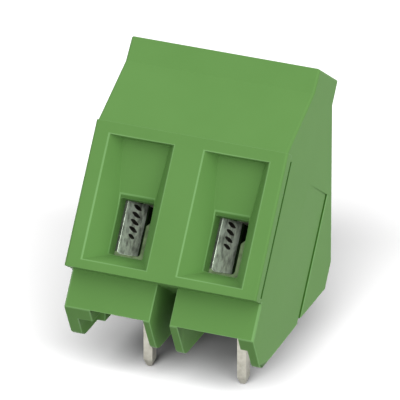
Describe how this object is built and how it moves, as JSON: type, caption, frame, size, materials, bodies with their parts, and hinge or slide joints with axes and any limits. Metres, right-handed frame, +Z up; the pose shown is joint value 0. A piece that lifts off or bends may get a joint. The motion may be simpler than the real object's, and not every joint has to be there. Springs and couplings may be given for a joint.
{
  "type": "pcb screw terminal",
  "caption": "Moulded terminal for a printed circuit board: sloped wire funnels, tension sleeves raised by slotted screws, current bars that end in solder pins.",
  "frame": {"origin": "on the board's top face, midway between the two solder pins", "axes": "+X along the row of poles, +Y from the wire entries to the back, +Z up from the board"},
  "size_m": [0.0192, 0.0216, 0.0305],
  "materials": {
    "housing": "moulded satin",
    "screw": "zinc plated",
    "sleeve": "nickel plated",
    "bar": "matte tin plating"
  },
  "bodies": {
    "base": {"housing": "housing", "current_bar_1": "bar", "current_bar_2": "bar"},
    "screw_1": {"clamping_screw_1": "screw"},
    "sleeve_1": {"tension_sleeve_1": "sleeve"},
    "screw_2": {"clamping_screw_2": "screw"},
    "sleeve_2": {"tension_sleeve_2": "sleeve"}
  },
  "joints": [
    {"name": "screw_1_turn", "type": "hinge", "parent": "base", "child": "screw_1", "pos_m": [-0.00476, 0.0059, 0.01727], "axis": [0, -0.5736, -0.8192], "range_deg": [0, 2520]},
    {"name": "sleeve_1_rise", "type": "slide", "parent": "base", "child": "sleeve_1", "axis": [0, 0.5736, 0.8192], "range_m": [0, 0.0049]},
    {"name": "screw_2_turn", "type": "hinge", "parent": "base", "child": "screw_2", "pos_m": [0.00476, 0.0059, 0.01727], "axis": [0, -0.5736, -0.8192], "range_deg": [0, 2520]},
    {"name": "sleeve_2_rise", "type": "slide", "parent": "base", "child": "sleeve_2", "axis": [0, 0.5736, 0.8192], "range_m": [0, 0.0049]}
  ],
  "couplings": [
    {"joint": "screw_1_turn", "follows": "sleeve_1_rise", "rad_per_m": 8976},
    {"joint": "screw_2_turn", "follows": "sleeve_2_rise", "rad_per_m": 8976}
  ]
}
